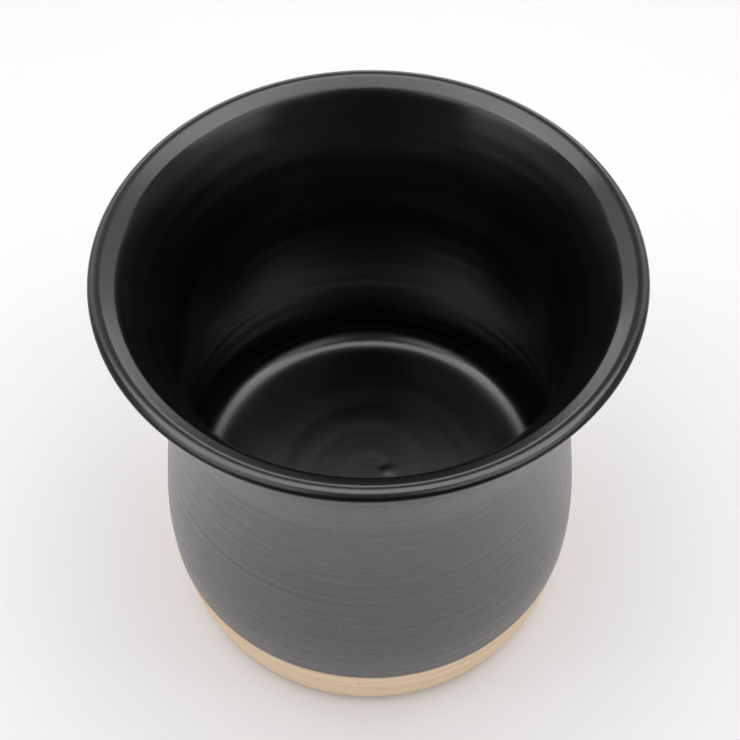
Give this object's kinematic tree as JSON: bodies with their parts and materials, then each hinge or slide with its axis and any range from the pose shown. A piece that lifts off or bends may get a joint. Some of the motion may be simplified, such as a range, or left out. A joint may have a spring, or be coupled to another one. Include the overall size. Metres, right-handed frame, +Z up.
{
  "type": "candle jar",
  "caption": "Empty stoneware candle jar with a flared lip, black glaze lining, charcoal glaze outside and a bare clay foot.",
  "frame": {"origin": "centre of the foot, on the plane the jar stands on", "axes": "+Z up along the jar's axis of turning; X and Y are alike"},
  "size_m": [0.11, 0.11, 0.1105],
  "materials": {
    "bare_clay": "matte, bare fired clay with fine turning lines",
    "black_glaze": "satin",
    "charcoal_glaze": "satin matte, faint horizontal streaks"
  },
  "bodies": {
    "root": {"clay_body": "bare_clay", "inner_glaze": "black_glaze", "outer_glaze": "charcoal_glaze"}
  },
  "joints": []
}
